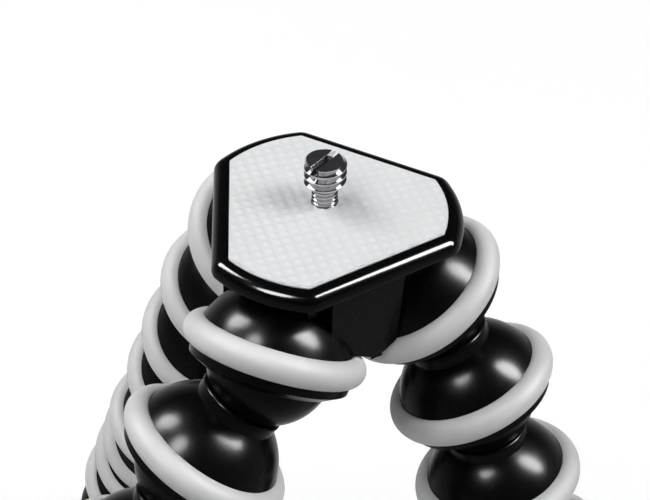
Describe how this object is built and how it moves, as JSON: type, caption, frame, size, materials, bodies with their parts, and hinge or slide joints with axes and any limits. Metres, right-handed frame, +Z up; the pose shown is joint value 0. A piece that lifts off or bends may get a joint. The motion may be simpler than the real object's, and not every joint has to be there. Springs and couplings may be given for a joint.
{
  "type": "flexible leg tripod",
  "caption": "Small camera tripod with a three-sided padded plate, a screw stud and legs of ball and socket segments with rubber rings that bend and hold their pose.",
  "frame": {"origin": "middle of the pad's top face", "axes": "+Z up out of the pad, as the camera screw points, +X out along the leg on the picture's right"},
  "size_m": [0.1597, 0.1697, 0.18],
  "materials": {
    "black_plastic": "glossy moulded black",
    "ring_rubber": "soft off-white rubber",
    "pad_rubber": "white rubber with a fine raised grid",
    "chrome": "bright plated",
    "steel": "plain zinc plated"
  },
  "bodies": {
    "head": {"hub_body": "black_plastic", "platform_plate": "black_plastic", "platform_pad": "pad_rubber", "camera_screw": "chrome", "stud_nut": "steel", "plate_screws": "steel", "right_leg_hub_ring": "ring_rubber", "rear_leg_hub_ring": "ring_rubber", "front_leg_hub_ring": "ring_rubber"},
    "right_leg_link_1": {"right_leg_segment_1": "black_plastic", "right_leg_ring_1": "ring_rubber"},
    "right_leg_link_2": {"right_leg_segment_2": "black_plastic", "right_leg_ring_2": "ring_rubber"},
    "right_leg_link_3": {"right_leg_segment_3": "black_plastic", "right_leg_ring_3": "ring_rubber"},
    "right_leg_link_4": {"right_leg_segment_4": "black_plastic", "right_leg_ring_4": "ring_rubber"},
    "right_leg_link_5": {"right_leg_segment_5": "black_plastic", "right_leg_ring_5": "ring_rubber"},
    "right_leg_link_6": {"right_leg_segment_6": "black_plastic", "right_leg_ring_6": "ring_rubber"},
    "right_leg_link_7": {"right_leg_segment_7": "black_plastic", "right_leg_ring_7": "ring_rubber"},
    "right_leg_foot_link": {"right_leg_foot": "black_plastic", "right_leg_foot_tip": "ring_rubber"},
    "rear_leg_link_1": {"rear_leg_segment_1": "black_plastic", "rear_leg_ring_1": "ring_rubber"},
    "rear_leg_link_2": {"rear_leg_segment_2": "black_plastic", "rear_leg_ring_2": "ring_rubber"},
    "rear_leg_link_3": {"rear_leg_segment_3": "black_plastic", "rear_leg_ring_3": "ring_rubber"},
    "rear_leg_link_4": {"rear_leg_segment_4": "black_plastic", "rear_leg_ring_4": "ring_rubber"},
    "rear_leg_link_5": {"rear_leg_segment_5": "black_plastic", "rear_leg_ring_5": "ring_rubber"},
    "rear_leg_link_6": {"rear_leg_segment_6": "black_plastic", "rear_leg_ring_6": "ring_rubber"},
    "rear_leg_link_7": {"rear_leg_segment_7": "black_plastic", "rear_leg_ring_7": "ring_rubber"},
    "rear_leg_foot_link": {"rear_leg_foot": "black_plastic", "rear_leg_foot_tip": "ring_rubber"},
    "front_leg_link_1": {"front_leg_segment_1": "black_plastic", "front_leg_ring_1": "ring_rubber"},
    "front_leg_link_2": {"front_leg_segment_2": "black_plastic", "front_leg_ring_2": "ring_rubber"},
    "front_leg_link_3": {"front_leg_segment_3": "black_plastic", "front_leg_ring_3": "ring_rubber"},
    "front_leg_link_4": {"front_leg_segment_4": "black_plastic", "front_leg_ring_4": "ring_rubber"},
    "front_leg_link_5": {"front_leg_segment_5": "black_plastic", "front_leg_ring_5": "ring_rubber"},
    "front_leg_link_6": {"front_leg_segment_6": "black_plastic", "front_leg_ring_6": "ring_rubber"},
    "front_leg_link_7": {"front_leg_segment_7": "black_plastic", "front_leg_ring_7": "ring_rubber"},
    "front_leg_foot_link": {"front_leg_foot": "black_plastic", "front_leg_foot_tip": "ring_rubber"}
  },
  "joints": [
    {"name": "right_leg_joint_1", "type": "hinge", "parent": "head", "child": "right_leg_link_1", "pos_m": [0.0162, 0, -0.018], "axis": [-0.054, -0.9945, 0.0898], "range_deg": [-19, 35]},
    {"name": "right_leg_joint_2", "type": "hinge", "parent": "right_leg_link_1", "child": "right_leg_link_2", "pos_m": [0.02508, -0.00416, -0.03543], "axis": [0.9306, 0, 0.3661], "range_deg": [-31, 25]},
    {"name": "right_leg_joint_3", "type": "hinge", "parent": "right_leg_link_2", "child": "right_leg_link_3", "pos_m": [0.03053, -0.00729, -0.05442], "axis": [0.0398, 0.9925, -0.1154], "range_deg": [-23, 35]},
    {"name": "right_leg_joint_4", "type": "hinge", "parent": "right_leg_link_3", "child": "right_leg_link_4", "pos_m": [0.03799, -0.00903, -0.07289], "axis": [-0.9099, 0, -0.4148], "range_deg": [-24, 34]},
    {"name": "right_leg_joint_5", "type": "hinge", "parent": "right_leg_link_4", "child": "right_leg_link_5", "pos_m": [0.04707, -0.00903, -0.09071], "axis": [0.0167, -0.9994, -0.0307], "range_deg": [-32, 26]},
    {"name": "right_leg_joint_6", "type": "hinge", "parent": "right_leg_link_5", "child": "right_leg_link_6", "pos_m": [0.05704, -0.00764, -0.10799], "axis": [0.8572, 0, 0.515], "range_deg": [-30, 28]},
    {"name": "right_leg_joint_7", "type": "hinge", "parent": "right_leg_link_6", "child": "right_leg_link_7", "pos_m": [0.0676, -0.00589, -0.12489], "axis": [-0.0404, 0.9969, 0.0673], "range_deg": [-31, 27]},
    {"name": "right_leg_joint_8", "type": "hinge", "parent": "right_leg_link_7", "child": "right_leg_foot_link", "pos_m": [0.07758, -0.0045, -0.14217], "axis": [-0.8823, 0, -0.4707], "range_deg": [-31, 27]},
    {"name": "rear_leg_joint_1", "type": "hinge", "parent": "head", "child": "rear_leg_link_1", "pos_m": [-0.0081, 0.01403, -0.018], "axis": [0.8567, 0.5149, -0.0303], "range_deg": [-19, 39]},
    {"name": "rear_leg_joint_2", "type": "hinge", "parent": "rear_leg_link_1", "child": "rear_leg_link_2", "pos_m": [-0.01352, 0.02063, -0.03608], "axis": [-0.4513, 0.7817, 0.4305], "range_deg": [-25, 33]},
    {"name": "rear_leg_joint_3", "type": "hinge", "parent": "rear_leg_link_2", "child": "rear_leg_link_3", "pos_m": [-0.01791, 0.02823, -0.05406], "axis": [-0.8679, -0.4966, -0.0078], "range_deg": [-28, 30]},
    {"name": "rear_leg_joint_4", "type": "hinge", "parent": "rear_leg_link_3", "child": "rear_leg_link_4", "pos_m": [-0.02215, 0.03626, -0.07187], "axis": [0.4567, -0.7911, -0.4069], "range_deg": [-22, 36]},
    {"name": "rear_leg_joint_5", "type": "hinge", "parent": "rear_leg_link_4", "child": "rear_leg_link_5", "pos_m": [-0.02752, 0.04139, -0.09044], "axis": [0.8718, 0.4893, 0.0234], "range_deg": [-39, 13]},
    {"name": "rear_leg_joint_6", "type": "hinge", "parent": "rear_leg_link_5", "child": "rear_leg_link_6", "pos_m": [-0.03033, 0.05252, -0.10682], "axis": [-0.4217, 0.7305, 0.5372], "range_deg": [-34, 24]},
    {"name": "rear_leg_joint_7", "type": "hinge", "parent": "rear_leg_link_6", "child": "rear_leg_link_7", "pos_m": [-0.03426, 0.06212, -0.12392], "axis": [-0.874, -0.485, -0.0305], "range_deg": [-33, 25]},
    {"name": "rear_leg_joint_8", "type": "hinge", "parent": "rear_leg_link_7", "child": "rear_leg_foot_link", "pos_m": [-0.0388, 0.06998, -0.14174], "axis": [0.4525, -0.7838, -0.4252], "range_deg": [-27, 31]},
    {"name": "front_leg_joint_1", "type": "hinge", "parent": "head", "child": "front_leg_link_1", "pos_m": [-0.0081, -0.01403, -0.018], "axis": [-0.8024, 0.5783, 0.1475], "range_deg": [-20, 23]},
    {"name": "front_leg_joint_2", "type": "hinge", "parent": "front_leg_link_1", "child": "front_leg_link_2", "pos_m": [-0.01927, -0.01936, -0.03371], "axis": [-0.4241, -0.7346, 0.5296], "range_deg": [-38, 21]},
    {"name": "front_leg_joint_3", "type": "hinge", "parent": "front_leg_link_2", "child": "front_leg_link_3", "pos_m": [-0.02791, -0.02601, -0.05048], "axis": [0.818, -0.5585, -0.1376], "range_deg": [-34, 24]},
    {"name": "front_leg_joint_4", "type": "hinge", "parent": "front_leg_link_3", "child": "front_leg_link_4", "pos_m": [-0.03408, -0.03252, -0.06836], "axis": [0.4586, 0.7942, -0.3986], "range_deg": [-23, 35]},
    {"name": "front_leg_joint_5", "type": "hinge", "parent": "front_leg_link_4", "child": "front_leg_link_5", "pos_m": [-0.03766, -0.03872, -0.08703], "axis": [-0.8716, 0.4891, -0.0327], "range_deg": [-28, 30]},
    {"name": "front_leg_joint_6", "type": "hinge", "parent": "front_leg_link_5", "child": "front_leg_link_6", "pos_m": [-0.03986, -0.04533, -0.10578], "axis": [-0.4668, -0.8085, 0.3584], "range_deg": [-30, 28]},
    {"name": "front_leg_joint_7", "type": "hinge", "parent": "front_leg_link_6", "child": "front_leg_link_7", "pos_m": [-0.04209, -0.05267, -0.12425], "axis": [0.8787, -0.4719, 0.0722], "range_deg": [-27, 31]},
    {"name": "front_leg_joint_8", "type": "hinge", "parent": "front_leg_link_7", "child": "front_leg_foot_link", "pos_m": [-0.04494, -0.06039, -0.14248], "axis": [0.4492, 0.7781, -0.4391], "range_deg": [-31, 27]}
  ]
}
